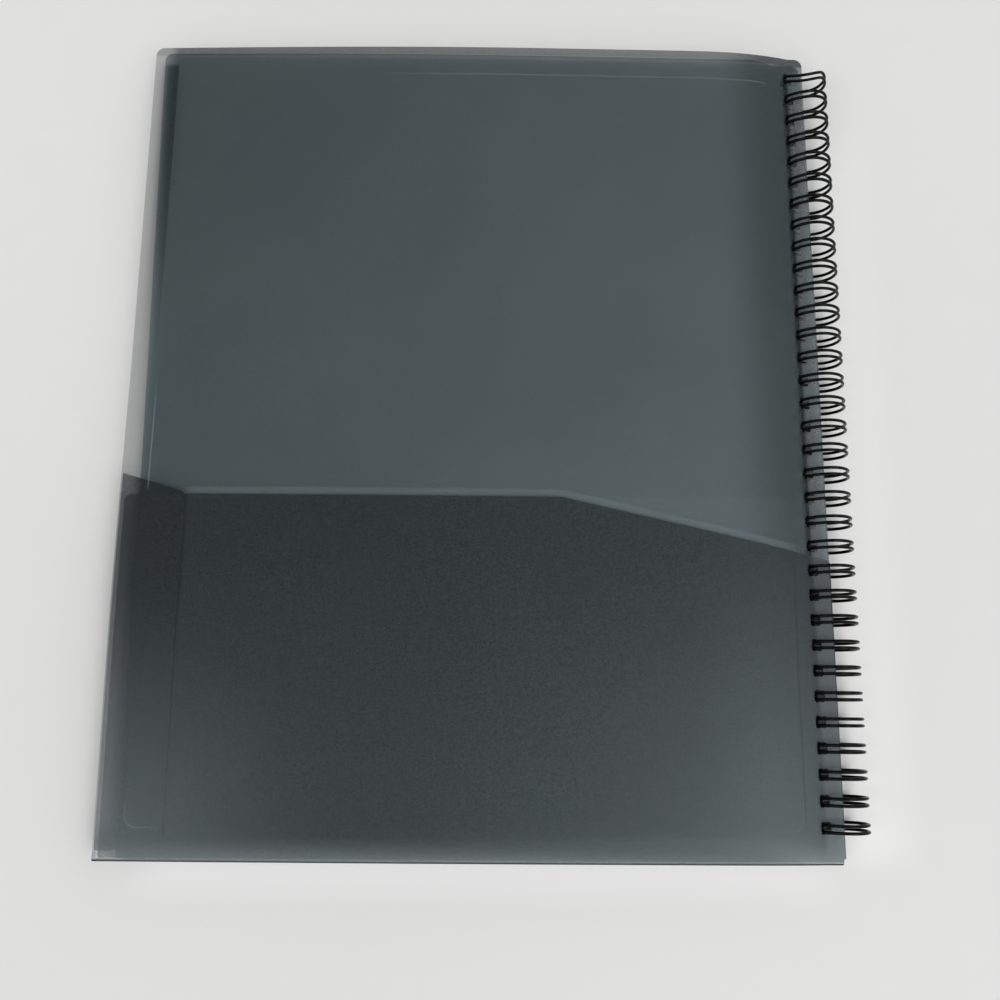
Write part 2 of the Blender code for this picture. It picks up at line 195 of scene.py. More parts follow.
def back_bend(flat, at_holes):
    """The back leaf bows across its width and its free edge lifts beside the pocket."""
    def height(s, y):
        rise, from_free_edge = bowed(s, y, BACK_BOW)
        crown = flat + rise
        along = ease(1 - abs(y - EDGE_LIFT_MIDDLE) / EDGE_LIFT_REACH)
        crown += EDGE_LIFT * along * ease(1 - from_free_edge)
        ramp = (s - BACK_RAMP_START) / (BACK_RAMP_END - BACK_RAMP_START)
        share = 1 - (1 - min(1.0, max(0.0, ramp))) ** BACK_RAMP_POWER
        return at_holes + (crown - at_holes) * share
    return height


# Outlines, in sheet coordinates: x is 0 at the spine edge and y is 0 at the bottom
def rounded(corners, radii, steps=8):
    """A polygon's outline with each corner rounded by its radius."""
    points = []
    count = len(corners)
    for i, radius in enumerate(radii):
        corner = Vector(corners[i])
        before = (Vector(corners[i - 1]) - corner).normalized()
        after = (Vector(corners[(i + 1) % count]) - corner).normalized()
        half = before.angle(after) / 2
        middle = corner + (before + after).normalized() * radius / math.sin(half)
        first = corner + before * radius / math.tan(half) - middle
        last = corner + after * radius / math.tan(half) - middle
        turn = first.angle_signed(last)
        for k in range(steps + 1):
            angle = math.atan2(first.y, first.x) - turn * k / steps
            points.append(middle + radius * Vector((math.cos(angle), math.sin(angle))))
    return points


def rectangle(left, right, low, high, radius, steps=8):
    corners = [(left, low), (right, low), (right, high), (left, high)]
    return rounded(corners, [radius] * 4, steps)


def hole_outlines(extra=0.0, free_extra=0.0):
    """The row of holes; a lower leaf's are wider by its play on the wire."""
    made = []
    for i in range(HOLE_COUNT):
        y = FIRST_HOLE + i * HOLE_PITCH
        made.append(rectangle(
            -HOLE_TO_SPINE_EDGE - HOLE_WIDTH / 2 - free_extra,
            -HOLE_TO_SPINE_EDGE + HOLE_WIDTH / 2 + extra,
            y - HOLE_HEIGHT / 2, y + HOLE_HEIGHT / 2, HOLE_CORNER, 3))
    return made


def hole_outlines_at(datum, extra, free_extra):
    """The holes, for an outline whose own zero lies at datum above the bottom edge."""
    holes = hole_outlines(extra, free_extra)
    return [[Vector((p.x, p.y - datum)) for p in hole] for hole in holes]


def cover_outline():
    """The cover with the strip that folds to its pocket; y is 0 at the fold line."""
    corners = [
        (-COVER_WIDTH, -FOLD_STRIP), (0, -FOLD_STRIP),
        (0, COVER_HEIGHT - FOLD_LINE), (-COVER_WIDTH, COVER_HEIGHT - FOLD_LINE),
    ]
    return rounded(corners, [FREE_FOLD_CORNER, SPINE_FOLD_CORNER, CORNER_RADIUS, CORNER_RADIUS])


def pocket_outline(left, right, foot, mouth):
    """A pocket's front, whose mouth is level at the free edge and falls to the spine."""
    fall = (MOUTH_DEPTH - POCKET_DEPTH_AT_SPINE) / MOUTH_SLOPE_LENGTH
    corners = [
        (left, foot), (right, foot),
        (right, mouth - fall * (MOUTH_SLOPE_LENGTH + right)),
        (-MOUTH_SLOPE_LENGTH, mouth), (left, mouth),
    ]
    radii = [POCKET_FOOT_RADIUS] * 3 + [POCKET_BEND_RADIUS, POCKET_CORNER_RADIUS]
    return rounded(corners, radii)


def tab_outline():
    """The side tab, with a slanting foot and a top that rises at the free edge."""
    left = TAB_EDGE_INSET - COVER_WIDTH
    right = TAB_WIDTH - COVER_WIDTH
    corners = [
        (left, TAB_FOOT), (left + TAB_FOOT_LEVEL, TAB_FOOT),
        (right, TAB_FOOT + TAB_FOOT_SLANT),
        (right, POCKET_DEPTH), (left, POCKET_DEPTH + TAB_RISE),
    ]
    return rounded(corners, TAB_RADII)


def steps_between(low, high, count):
    return [low + (high - low) * i / count for i in range(count + 1)]


# Where a sheet is cut so that it can bend: close together by the holes and by the fold
FINE_X = 0.028
LAST_X = COVER_WIDTH - 0.001
LAST_Y = 0.2
STATIONS_X = (
    steps_between(BACK_RAMP_START, FINE_X, 16) + steps_between(FINE_X, LAST_X, 26)[1:]
)
STATIONS_Y = steps_between(0, FOLD_EASE, 6) + steps_between(FOLD_EASE, LAST_Y, 18)[1:]
MERGE_DISTANCE = 1e-6
CUT_DISTANCE = 1e-7
SHEET_SHARP_FROM = math.radians(40)
WIRE_SHARP_FROM = math.radians(60)


def flat_mesh(name, outlines, thickness):
    """A flat closed sheet inside its first outline and outside the others."""
    curve = bpy.data.curves.new(name + "_outline", "CURVE")
    curve.dimensions = "2D"
    curve.fill_mode = "BOTH"
    curve.extrude = thickness / 2
    for outline in outlines:
        spline = curve.splines.new("POLY")
        spline.points.add(len(outline) - 1)
        for point, place in zip(spline.points, outline):
            point.co = (place.x, place.y, 0, 1)
        spline.use_cyclic_u = True
    return curve_mesh(name, curve)


def curve_mesh(name, curve):
    """A curve turned into a mesh of the given name."""
    drawn = bpy.data.objects.new(name + "_line", curve)
    bpy.context.scene.collection.objects.link(drawn)
    graph = bpy.context.evaluated_depsgraph_get()
    mesh = bpy.data.meshes.new_from_object(drawn.evaluated_get(graph))
    bpy.data.objects.remove(drawn)
    mesh.name = name
    return mesh


def link_smooth(name, mesh, sharp_from):
    """The mesh as a smooth object, with edges sharp from an angle up."""
    mesh.shade_smooth()
    mesh.set_sharp_from_angle(angle=sharp_from)
    made = bpy.data.objects.new(name, mesh)
    bpy.context.scene.collection.objects.link(made)
    return made


def cut_at_stations(work, folded):
    """Cut a flat sheet across at every place where it may bend."""
    cuts = [((-s, 0, 0), (1, 0, 0)) for s in STATIONS_X]
    cuts += [((0, y, 0), (0, 1, 0)) for y in STATIONS_Y]
    if folded:
        steps = range(1, FOLD_STEPS)
        cuts += [((0, -FOLD_STRIP * i / FOLD_STEPS, 0), (0, 1, 0)) for i in steps]
    for place, normal in cuts:
        everything = work.verts[:] + work.edges[:] + work.faces[:]
        bmesh.ops.bisect_plane(
            work, geom=everything, dist=CUT_DISTANCE, plane_co=place, plane_no=normal)


def folded_place(s, below, offset, level, other, thickness):
    """Place along Y and height in the fold that joins a cover to its pocket."""
    side = 1 if other > level else -1
    radius = abs(other - level) / 2
    angle = math.pi * below / FOLD_STRIP
    reach = radius - side * offset
    y = FOLD_LINE - FOLD_LINE / (radius + thickness / 2) * reach * math.sin(angle)
    return y, level + side * (radius - reach * math.cos(angle))


def sheet(name, outlines, thickness, height, spine, fold_to=None, shift=None):
    """A thin closed sheet laid along its height, folded over at the bottom if asked."""
    mesh = flat_mesh(name, outlines, thickness)
    work = bmesh.new()
    work.from_mesh(mesh)
    bmesh.ops.remove_doubles(work, verts=work.verts, dist=MERGE_DISTANCE)
    cut_at_stations(work, fold_to is not None)
    for vert in work.verts:
        s, y, offset = -vert.co.x, vert.co.y, vert.co.z
        level = height(s, BOTTOM_Y + max(y, 0))
        if fold_to and y < 0:
            other = fold_to(s, BOTTOM_Y)
            y, z = folded_place(s, -y, offset, level, other, thickness)
        else:
            y += FOLD_LINE if fold_to else 0
            z = level + offset
        vert.co = (vert.co.x + spine, BOTTOM_Y + y, z)
        if shift:
            vert.co.x += shift(s, vert.co.y)
    bmesh.ops.recalc_face_normals(work, faces=work.faces)
    work.to_mesh(mesh)
    work.free()
    return link_smooth(name, mesh, SHEET_SHARP_FROM)


# Node graphs
class Graph:
    """Short calls for building one material's nodes."""

    def __init__(self, name, backface_culling=False):
        self.material = bpy.data.materials.new(name)
        self.material.use_nodes = True
        self.material.use_backface_culling = backface_culling
        self.nodes = self.material.node_tree.nodes
        self.links = self.material.node_tree.links
        self.nodes.clear()
        self.output = self.nodes.new("ShaderNodeOutputMaterial")
        self.coordinates = self.nodes.new("ShaderNodeTexCoord").outputs["Object"]

    def put(self, value, socket):
        if hasattr(value, "links"):
            self.links.new(value, socket)
        else:
            socket.default_value = value

    def node(self, kind, inputs=None, **settings):
        made = self.nodes.new(kind)
        for key, value in settings.items():
            setattr(made, key, value)
        for key, value in (inputs or {}).items():
            self.put(value, made.inputs[key])
        return made

    def math(self, operation, *values):
        made = self.nodes.new("ShaderNodeMath")
        made.operation = operation
        for i, value in enumerate(values):
            self.put(value, made.inputs[i])
        return made.outputs[0]

    def place(self):
        """X and Y of the shaded point, in the piece's own coordinates."""
        parts = self.node("ShaderNodeSeparateXYZ", {"Vector": self.coordinates})
        return parts.outputs["X"], parts.outputs["Y"]

    def product(self, first, *others):
        for other in others:
            first = self.math("MULTIPLY", first, other)
        return first

    def total(self, first, *others):
        for other in others:
            first = self.math("ADD", first, other)
        return first

    def noise(self, scale, detail=2.0, roughness=0.5):
        made = self.node("ShaderNodeTexNoise", {
            "Vector": self.coordinates, "Scale": scale,
            "Detail": detail, "Roughness": roughness})
        return made.outputs["Fac"]

    def remap(self, value, low, high, to_low=0.0, to_high=1.0, kind="LINEAR"):
        """Straight from one level to another between two values, and level beyond."""
        made = self.node("ShaderNodeMapRange", {
            "Value": value, "From Min": low, "From Max": high,
            "To Min": to_low, "To Max": to_high}, interpolation_type=kind)
        return made.outputs["Result"]

    def ramp(self, value, low, high, to_low=0.0, to_high=1.0):
        """The same with soft ends."""
        return self.remap(value, low, high, to_low, to_high, "SMOOTHSTEP")

    def colour(self, value, dark, light):
        made = self.nodes.new("ShaderNodeMix")
        made.data_type = "RGBA"
        self.put(value, made.inputs["Factor"])
        for value, socket in ((dark, made.inputs[6]), (light, made.inputs[7])):
            self.put(value if hasattr(value, "links") else (*value, 1), socket)
        return made.outputs[2]

    def bump(self, height, distance, strength=1.0, normal=None):
        made = self.node("ShaderNodeBump", {
            "Height": height, "Distance": distance, "Strength": strength})
        if normal:
            self.put(normal, made.inputs["Normal"])
        return made.outputs["Normal"]

    def mix(self, share, first, second):
        made = self.nodes.new("ShaderNodeMixShader")
        self.put(share, made.inputs[0])
        self.put(first, made.inputs[1])
        self.put(second, made.inputs[2])
        return made.outputs[0]

    def finish(self, shader):
        self.links.new(shader, self.output.inputs["Surface"])
        return self.material


def rectangle_distance(g, left, right, low, high, radius):
    """Signed distance to a rounded rectangle in the sheet's plane."""
    x, y = g.place()
    x = g.math("ABSOLUTE", g.math("SUBTRACT", x, (left + right) / 2))
    y = g.math("ABSOLUTE", g.math("SUBTRACT", y, (low + high) / 2))
    x = g.math("SUBTRACT", x, (right - left) / 2 - radius)
    y = g.math("SUBTRACT", y, (high - low) / 2 - radius)
    outside_x = g.math("MAXIMUM", x, 0.0)
    outside_y = g.math("MAXIMUM", y, 0.0)
    squares = g.total(g.product(outside_x, outside_x), g.product(outside_y, outside_y))
    inside = g.math("MINIMUM", g.math("MAXIMUM", x, y), 0.0)
    return g.math("SUBTRACT", g.total(g.math("SQRT", squares), inside), radius)


# Marks on the films, most of them painted light and shade. Places along X and Y are in the CAD
# frame with the portfolio closed.
# A ramp is (from, to, level at from, level at to), or (from, to) where it goes from 0
# to 1, and it is level beyond both ends.
BEND_X = 0.0248
BEND_Y = BOTTOM_Y + MOUTH_DEPTH
MOUTH_FALL = (MOUTH_DEPTH - POCKET_DEPTH_AT_SPINE) / MOUTH_SLOPE_LENGTH

# The film's grain, fine and coarse, its clouds, its sheen, and how far they carry
GRAIN_SCALE = 1500.0
GRAIN_ROUGHNESS = 0.6
COARSE_SCALE = 600.0
CLOUD_SCALE = 14.0
GRAIN_SHARE = 0.6
COARSE_SHARE = 0.4
GRAIN_DEPTH = 0.0001
GRAIN_STRENGTH = 0.6
GRAIN_OPACITY = 0.015
CLOUD_OPACITY = 0.015
NOISE_SPAN = (0.3, 0.7)
CLOUD_TINT_SPAN = (0.35, 0.65)
SHEEN_SPAN = (0.38, 0.62)
SPECKLE_SPAN = (0.3, 0.75)
SPECKLE_LESS = 0.08
SPECKLE_MORE = 0.12
FILM_IOR = 1.49
DULL_SHEEN = (0.48, 0.55, 0.57)
BRIGHT_SHEEN = (0.74, 0.84, 0.87)

# The debossed line near the cover's edges, as left, right, low, high and corner radius,
# and the ramps of where a painted highlight lies along it
FRAME_LINE = (-0.1170, 0.1040, -0.1352, 0.1348, 0.0046)
LINE_HALF_WIDTH = 0.0004
LINE_DEPTH = 0.00015
LINE_HIGHLIGHT_TINT = (0.21, 0.24, 0.25)
LINE_LOW = (-0.134, -0.124, 1.0, 0.0)
LINE_LEFT = (-0.114, -0.102, 1.0, 0.0)
LINE_RIGHT = (0.092, 0.1035, 0.0, 0.4)
LINE_OVER_MOUTH = (BEND_Y, BEND_Y + 0.004, 0.0, 0.7)
LINE_FADE = (BEND_Y + 0.02, BEND_Y + 0.05, 1.0, 0.0)
LINE_TOP = (0.1335, 0.134, 0.0, 0.4)
LINE_TOP_RIGHT = (-0.06, 0.0)

# The painted shade of a dark band beside the line, where the cover stands off the stack's edge
BAND_OUTER = (-0.1245, -0.1200)
BAND_INNER = (-0.1176, -0.1170, 1.0, 0.0)
BAND_TOP = (0.1375, 0.1395, 1.0, 0.0)
BAND_FADE = (0.015, 0.120)
BAND_SHADE_OPACITY = 0.4

# The lighter lip of the cover along the pocket's mouth, from the tab to the holes, partly a
# paler crease and partly painted light over the shade the pocket casts there, with its
# first two ramps measured from the mouth
LIP_LOW = (-0.0002, 0.0002)
LIP_HIGH = (0.0018, 0.0026, 1.0, 0.0)
LIP_LEFT = (-0.1050, -0.1010)
LIP_RIGHT = (0.1015, 0.1085, 1.0, 0.0)
LIP_LIGHT_TINT = (0.064, 0.076, 0.079)

# The strip of the cover beyond its holes, painted lighter as the light it catches where it
# bends
SPINE_STRIP = (0.1104, 0.1122)
SPINE_STRIP_TOP = (0.138, 0.141, 1.0, 0.0)
SPINE_STRIP_LIGHT_TINT = (0.120, 0.127, 0.128)

# The fold: a painted highlight as a pale band, paler at its two corners, and a painted shadow
# as a dark line at the very bottom
FOLD_BAND = (BOTTOM_Y, BOTTOM_Y + 0.0085, 1.0, 0.0)
FOLD_BAND_POWER = 1.6
FOLD_HIGHLIGHT_TINT = (0.27, 0.30, 0.305)
FOLD_SHADOW = (BOTTOM_Y + 0.0004, BOTTOM_Y + 0.0010, 1.0, 0.0)
FOLD_SHADOW_TINT = (0.004, 0.005, 0.005)
FOLD_SHADOW_OPACITY = 0.55
HIGHLIGHT_CORNERS = (((-0.126, -0.1455, 0.0), 0.09, 0.75), ((0.125, -0.1455, 0.0), 0.13, 0.5))
CORNER_HIGHLIGHT_TINT = (0.23, 0.26, 0.265)

# What the cover's opacity gains over the stack above the mouth, along its top edge as
# painted shade, towards the top left, towards the holes as painted shade, and at the fold's
# free corner
ABOVE_MOUTH = (BEND_Y - 0.001, BEND_Y + 0.001)
STACK_EDGE = (-0.1218, -0.1182, -0.07, 0.06)
OVER_STACK = (-0.1200, -0.1170)
TOP_SHADE_STRIP = (-BOTTOM_Y - 0.0041, -BOTTOM_Y - 0.0025, 0.0, 0.22)
TOP_LEFT_SLOPE = 0.6
TOP_LEFT = (-0.19, 0.08, 0.10, -0.03)
SPINE_SHADE = (0.083, 0.105)
SPINE_SHADE_UP = (BEND_Y - 0.03, BEND_Y - 0.015, 0.07, 0.20)
SPINE_SHADE_FOOT = (BOTTOM_Y + 0.01, BOTTOM_Y + 0.05)
FREE_CORNER_ACROSS = (-0.1252, -0.1246, 0.38, 0.0)
FREE_CORNER_UP = (BOTTOM_Y + TAB_FOOT - 0.0004, BOTTOM_Y + TAB_FOOT, 1.0, 0.0)

# A pocket is painted darker, as shade, towards its mouth and over the tab, and clearer at its
# free edge
MOUTH_SHADE_UP = (BOTTOM_Y, BEND_Y)
MOUTH_SHADE_POWER = 0.75
MOUTH_SHADE_TINT = (0.016, 0.022, 0.024)
TAB_ACROSS = (-0.1035, -0.1027, 1.0, 0.0)
TAB_UP = (BEND_Y - 0.075, BEND_Y - 0.02)
TAB_SHADE_TINT = (0.002, 0.003, 0.004)
TAB_SHADE_OPACITY = 0.14
RIM_ACROSS = (-0.1238, -0.1165, -0.36, 0.0)
RIM_UP = (BOTTOM_Y + 0.004, BOTTOM_Y + 0.014, 0.25, 1.0)


def lip_light_mask(g, x, y):
    """One in a narrow strip above the pocket's mouth, level and then falling, where the lip is
    painted lighter.
    """
    past_bend = g.math("MAXIMUM", g.math("SUBTRACT", x, BEND_X), 0.0)
    mouth = g.math("SUBTRACT", BEND_Y, g.product(past_bend, MOUTH_FALL))
    above = g.math("SUBTRACT", y, mouth)
    along = g.product(g.ramp(x, *LIP_LEFT), g.ramp(x, *LIP_RIGHT))
    return g.product(g.product(g.ramp(above, *LIP_LOW), g.ramp(above, *LIP_HIGH)), along)


def line_highlight(g, x, y):
    """How much painted highlight lies on the frame line: at its bottom corners and top left."""
    left = g.ramp(x, *LINE_LEFT)
    corners = g.product(g.ramp(y, *LINE_LOW), g.total(left, g.ramp(x, *LINE_RIGHT)))
    above = g.product(g.ramp(y, *LINE_OVER_MOUTH), g.ramp(y, *LINE_FADE), left)
    top = g.product(g.ramp(y, *LINE_TOP), g.ramp(x, *LINE_TOP_RIGHT))
    return g.total(corners, above, top)


def shade_band_mask(g, x, y):
    """One inside the band of painted shade, soft on its outer side and fading downwards."""
    across = g.product(g.ramp(x, *BAND_OUTER), g.ramp(x, *BAND_INNER))
    return g.product(across, g.product(g.ramp(y, *BAND_TOP), g.ramp(y, *BAND_FADE)))


def corner_highlight_mask(g, corner, reach, share):
    """Painted highlight, strongest at a corner of the fold, where the sheet curls into the
    light.
    """
    away = g.node("ShaderNodeVectorMath", {0: g.coordinates, 1: corner},
                  operation="DISTANCE").outputs["Value"]
    return g.product(g.math("POWER", g.remap(away, 0.0, reach, 1.0, 0.0), 2.0), share)


def cover_opacity(g, x, y):
    """What the cover's share gains: painted shade in the dark band, along the top edge, at the
    fold's line and towards the holes, more over the stack above the mouth, and at the fold's
    free corner.
    """
    slanting = g.math("SUBTRACT", x, g.product(y, TOP_LEFT_SLOPE))
    top_left = g.product(g.remap(slanting, *TOP_LEFT), g.ramp(x, *OVER_STACK))
    over_stack = g.total(g.ramp(x, *STACK_EDGE), top_left)
    upper = g.product(g.ramp(y, *ABOVE_MOUTH), over_stack)
    spine = g.product(g.ramp(x, *SPINE_SHADE), g.ramp(y, *SPINE_SHADE_UP),
                      g.remap(y, *SPINE_SHADE_FOOT))
    free_corner = g.product(g.ramp(x, *FREE_CORNER_ACROSS), g.ramp(y, *FREE_CORNER_UP))
    # The fold's painted shadow line, darker in opacity too
    fold = g.product(g.ramp(y, *FOLD_SHADOW), FOLD_SHADOW_OPACITY)
    # Painted shade along the top edge
    top = g.ramp(y, *TOP_SHADE_STRIP)
    # Painted shade in the dark band beside the frame line
    band = g.product(shade_band_mask(g, x, y), BAND_SHADE_OPACITY)
    return g.total(band, upper, top, spine, free_corner, fold)


def debossed_line(g, normal):
    """The normal with the frame line pressed in, and one along the line."""
    distance = rectangle_distance(g, *FRAME_LINE)
    step = g.ramp(distance, -LINE_HALF_WIDTH, LINE_HALF_WIDTH, 1.0, 0.0)
    normal = g.bump(step, LINE_DEPTH, 1.0, normal)
    off_line = g.math("ABSOLUTE", g.total(distance, LINE_HALF_WIDTH))
    return normal, g.ramp(off_line, 0.0, LINE_HALF_WIDTH, 1.0, 0.0)


def cover_tint(g, x, y, tint, line):
    """The cover's colour with the painted light and shade of its lip, its spine strip, its fold
    and its frame line.
    """
    # The strip beyond the holes, painted lighter as caught light
    strip = g.product(g.ramp(x, *SPINE_STRIP), g.ramp(y, *SPINE_STRIP_TOP))
    # The lip: a paler crease, painted lighter still over the pocket's shade
    tint = g.colour(lip_light_mask(g, x, y), tint, LIP_LIGHT_TINT)
    tint = g.colour(strip, tint, SPINE_STRIP_LIGHT_TINT)
    # Painted highlights at the fold's corners and along the fold, and the fold's painted shadow
    # line
    for corner, reach, most in HIGHLIGHT_CORNERS:
        tint = g.colour(corner_highlight_mask(g, corner, reach, most), tint, CORNER_HIGHLIGHT_TINT)
    band = g.math("POWER", g.remap(y, *FOLD_BAND), FOLD_BAND_POWER)
    tint = g.colour(band, tint, FOLD_HIGHLIGHT_TINT)
    tint = g.colour(g.ramp(y, *FOLD_SHADOW), tint, FOLD_SHADOW_TINT)
    # A painted highlight along the frame line
    return g.colour(g.product(line, line_highlight(g, x, y)), tint, LINE_HIGHLIGHT_TINT)


def pocket_marks(g, x, y, tint, share, mouth_shade_gain):
    """The pocket's colour and share, with painted shade towards its mouth and over its tab, and
    its clearer free edge.
    """
    # Painted shade towards the mouth and over the tab
    mouth_shading = g.math("POWER", g.ramp(y, *MOUTH_SHADE_UP), MOUTH_SHADE_POWER)
    tab_shade = g.product(g.ramp(x, *TAB_ACROSS), g.ramp(y, *TAB_UP))
    tint = g.colour(mouth_shading, tint, MOUTH_SHADE_TINT)
    tint = g.colour(tab_shade, tint, TAB_SHADE_TINT)
    rim = g.product(g.ramp(x, *RIM_ACROSS), g.ramp(y, *RIM_UP))
    gains = (g.product(mouth_shading, mouth_shade_gain), g.product(tab_shade, TAB_SHADE_OPACITY), rim)
    return tint, g.total(share, *gains)


def frosted_plastic(name, dark, light, opacity, roughness, groove_and_painted_light=False, mouth_shade_gain=0.0):
    """Frosted translucent polypropylene: what is behind shows, under a grained sheen.

    Light is dimmed where it enters a sheet and leaves it freely, so each sheet
    counts once whatever its thickness. A cover has the groove of its frame line and
    its painted light and shade, and a pocket is painted darker, as shade, towards its mouth.
    """
    g = Graph(name, backface_culling=True)
    x, y = g.place()
    grain = g.noise(GRAIN_SCALE, 2.0, GRAIN_ROUGHNESS)
    coarse = g.noise(COARSE_SCALE, 3.0)
    clouds = g.noise(CLOUD_SCALE, 3.0)
    height = g.total(g.product(grain, GRAIN_SHARE), g.product(coarse, COARSE_SHARE))
    normal = g.bump(height, GRAIN_DEPTH, GRAIN_STRENGTH)
    tint = g.colour(g.ramp(clouds, *CLOUD_TINT_SPAN), dark, light)
    share = g.remap(clouds, *NOISE_SPAN, opacity - CLOUD_OPACITY, opacity + CLOUD_OPACITY)
    share = g.total(share, g.remap(grain, *NOISE_SPAN, -GRAIN_OPACITY, GRAIN_OPACITY))
    if groove_and_painted_light:
        normal, line = debossed_line(g, normal)
        # The cover's painted light and shade
        tint = cover_tint(g, x, y, tint, line)
        share = g.total(share, cover_opacity(g, x, y))
    if mouth_shade_gain:
        # The pocket's painted shade
        tint, share = pocket_marks(g, x, y, tint, share, mouth_shade_gain)
    sheen_tint = g.colour(g.ramp(grain, *SHEEN_SPAN), DULL_SHEEN, BRIGHT_SHEEN)
    speckle = g.remap(grain, *SPECKLE_SPAN, roughness - SPECKLE_LESS, roughness + SPECKLE_MORE)
    body = g.node("ShaderNodeBsdfDiffuse", {"Color": tint, "Normal": normal})
    clear = g.node("ShaderNodeBsdfTransparent", {"Color": (1, 1, 1, 1)})
    sheen = g.node("ShaderNodeBsdfAnisotropic", {
        "Color": sheen_tint, "Roughness": speckle, "Normal": normal})
    mirror = g.node("ShaderNodeFresnel", {"IOR": FILM_IOR, "Normal": normal})
    film = g.mix(share, clear.outputs[0], body.outputs[0])
    front = g.mix(mirror.outputs[0], film, sheen.outputs[0])
    leaving = g.node("ShaderNodeNewGeometry").outputs["Backfacing"]
    return g.finish(g.mix(leaving, front, clear.outputs[0]))


# The wire's coating: a slight ripple, and fine changes of colour and gloss
RIPPLE_SCALE = 420.0
RIPPLE_DEPTH = 0.00005
RIPPLE_STRENGTH = 0.5
COATING_SCALE = 2400.0
COATING_DARK = (0.0008, 0.0008, 0.001)
COATING_LIGHT = (0.002, 0.002, 0.0022)
COATING_ROUGHNESS = (0.14, 0.24)
COATING_SPECULAR = 0.12


def coated_wire():
    """Gloss black coating with a slight ripple."""
    g = Graph("gloss_black_wire")
    ripple = g.noise(RIPPLE_SCALE, 3.0)
    fine = g.noise(COATING_SCALE, 2.0)
    normal = g.bump(ripple, RIPPLE_DEPTH, RIPPLE_STRENGTH)
    shader = g.node("ShaderNodeBsdfPrincipled", {
        "Base Color": g.colour(fine, COATING_DARK, COATING_LIGHT),
        "Roughness": g.remap(fine, *NOISE_SPAN, *COATING_ROUGHNESS), "Normal": normal})
    shader.inputs["Specular IOR Level"].default_value = COATING_SPECULAR
    return g.finish(shader.outputs[0])


# The table's three colours, the shares of its clouds, its fine noise and its slow change
# towards +Y, which is painted shade towards the bottom edge, and the ramps of where painted
# light makes it paler, close to the binding and to the fold
TABLE_DARK = (0.648, 0.642, 0.634)
TABLE_LIGHT = (0.800, 0.791, 0.780)
TABLE_PAINTED_LIGHT = (0.84, 0.832, 0.822)
TABLE_BOTTOM_SHADE = (-0.22, 0.18, 0.12, 0.88)
TABLE_SHARES = (0.35, 0.1, 0.55)
TABLE_CLOUD_SCALE = 1.6
TABLE_FINE_SCALE = 90.0
TABLE_ROUGHNESS = (0.42, 0.52)
TABLE_SPECULAR = 0.3
BESIDE_OUT = (0.124, 0.152, 1.0, 0.0)
BESIDE_IN = (0.09, 0.11)
BESIDE_FOOT = (BOTTOM_Y - 0.01, BOTTOM_Y + 0.01)
BESIDE_TOP = (0.10, 0.14, 1.0, 0.0)
BELOW_OUT = (BOTTOM_Y - 0.001, BOTTOM_Y - 0.018, 1.0, 0.0)
BELOW_IN = (BOTTOM_Y, BOTTOM_Y + 0.01, 1.0, 0.0)
BELOW_ENDS = (0.10, 0.13, 1.0, 0.0)


def painted_light_near(g, x, y):
    """One on the table close to the binding and to the fold, where painted light lifts the
    shade.
    """
    beside = g.product(g.ramp(x, *BESIDE_OUT), g.ramp(x, *BESIDE_IN),
                       g.ramp(y, *BESIDE_FOOT), g.ramp(y, *BESIDE_TOP))
    below = g.product(g.ramp(y, *BELOW_OUT), g.ramp(y, *BELOW_IN),
                      g.ramp(g.math("ABSOLUTE", x), *BELOW_ENDS))
    return g.math("MAXIMUM", beside, below)


def table_top():
    """Smooth white table with faint clouds, painted shade towards the bottom edge and painted
    light close to the binding and the fold.
    """
    g = Graph("white_table")
    x, y = g.place()
    fine = g.noise(TABLE_FINE_SCALE, 3.0)
    # The slow change towards +Y is painted shade towards the bottom edge
    causes = (g.noise(TABLE_CLOUD_SCALE, 3.0), fine, g.ramp(y, *TABLE_BOTTOM_SHADE))
    blend = g.total(*[g.product(cause, share) for cause, share in zip(causes, TABLE_SHARES)])
    colour = g.colour(blend, TABLE_DARK, TABLE_LIGHT)
    shader = g.node("ShaderNodeBsdfPrincipled", {
        # Painted light on the table close to the binding and the fold
        "Base Color": g.colour(painted_light_near(g, x, y), colour, TABLE_PAINTED_LIGHT),
        "Roughness": g.remap(fine, *NOISE_SPAN, *TABLE_ROUGHNESS)})
    shader.inputs["Specular IOR Level"].default_value = TABLE_SPECULAR
    return g.finish(shader.outputs[0])


COVER = frosted_plastic(
    "smoke_cover", dark=(0.009, 0.013, 0.014), light=(0.014, 0.019, 0.020),
    opacity=0.42, roughness=0.42, groove_and_painted_light=True)
POCKET = frosted_plastic(
    "smoke_pocket", dark=(0.043, 0.053, 0.056), light=(0.050, 0.061, 0.064),
    opacity=0.84, roughness=0.44, mouth_shade_gain=0.08)
DIVIDER = frosted_plastic(
    "smoke_divider", dark=(0.250, 0.315, 0.334), light=(0.280, 0.348, 0.367),
    opacity=0.8, roughness=0.5)
WIRE = coated_wire()
TABLE = table_top()


def finish_piece(piece, body, node, paint):
    """Give a piece its material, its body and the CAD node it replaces."""
    piece.data.materials.clear()
    piece.data.materials.append(paint)
    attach(piece, body)
    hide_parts(node)


def askew(amount, at_edge):
    """A lower leaf leans out at its free edge's top, and hangs over by its holes' play."""
    def shift(s, y):
        outwards = ease((s - LEAF_END) / (COVER_WIDTH - LEAF_END))
        near_spine = HOLE_PLAY * ease((PLAY_END - y) / PLAY_EASE)
        near_edge = at_edge - amount * y / COVER_HEIGHT
        return near_spine * (1 - outwards) + near_edge * outwards
    return shift


def spine_of(node):
    """Where a leaf's spine edge is, from its CAD node."""
    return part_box(node)[1].x


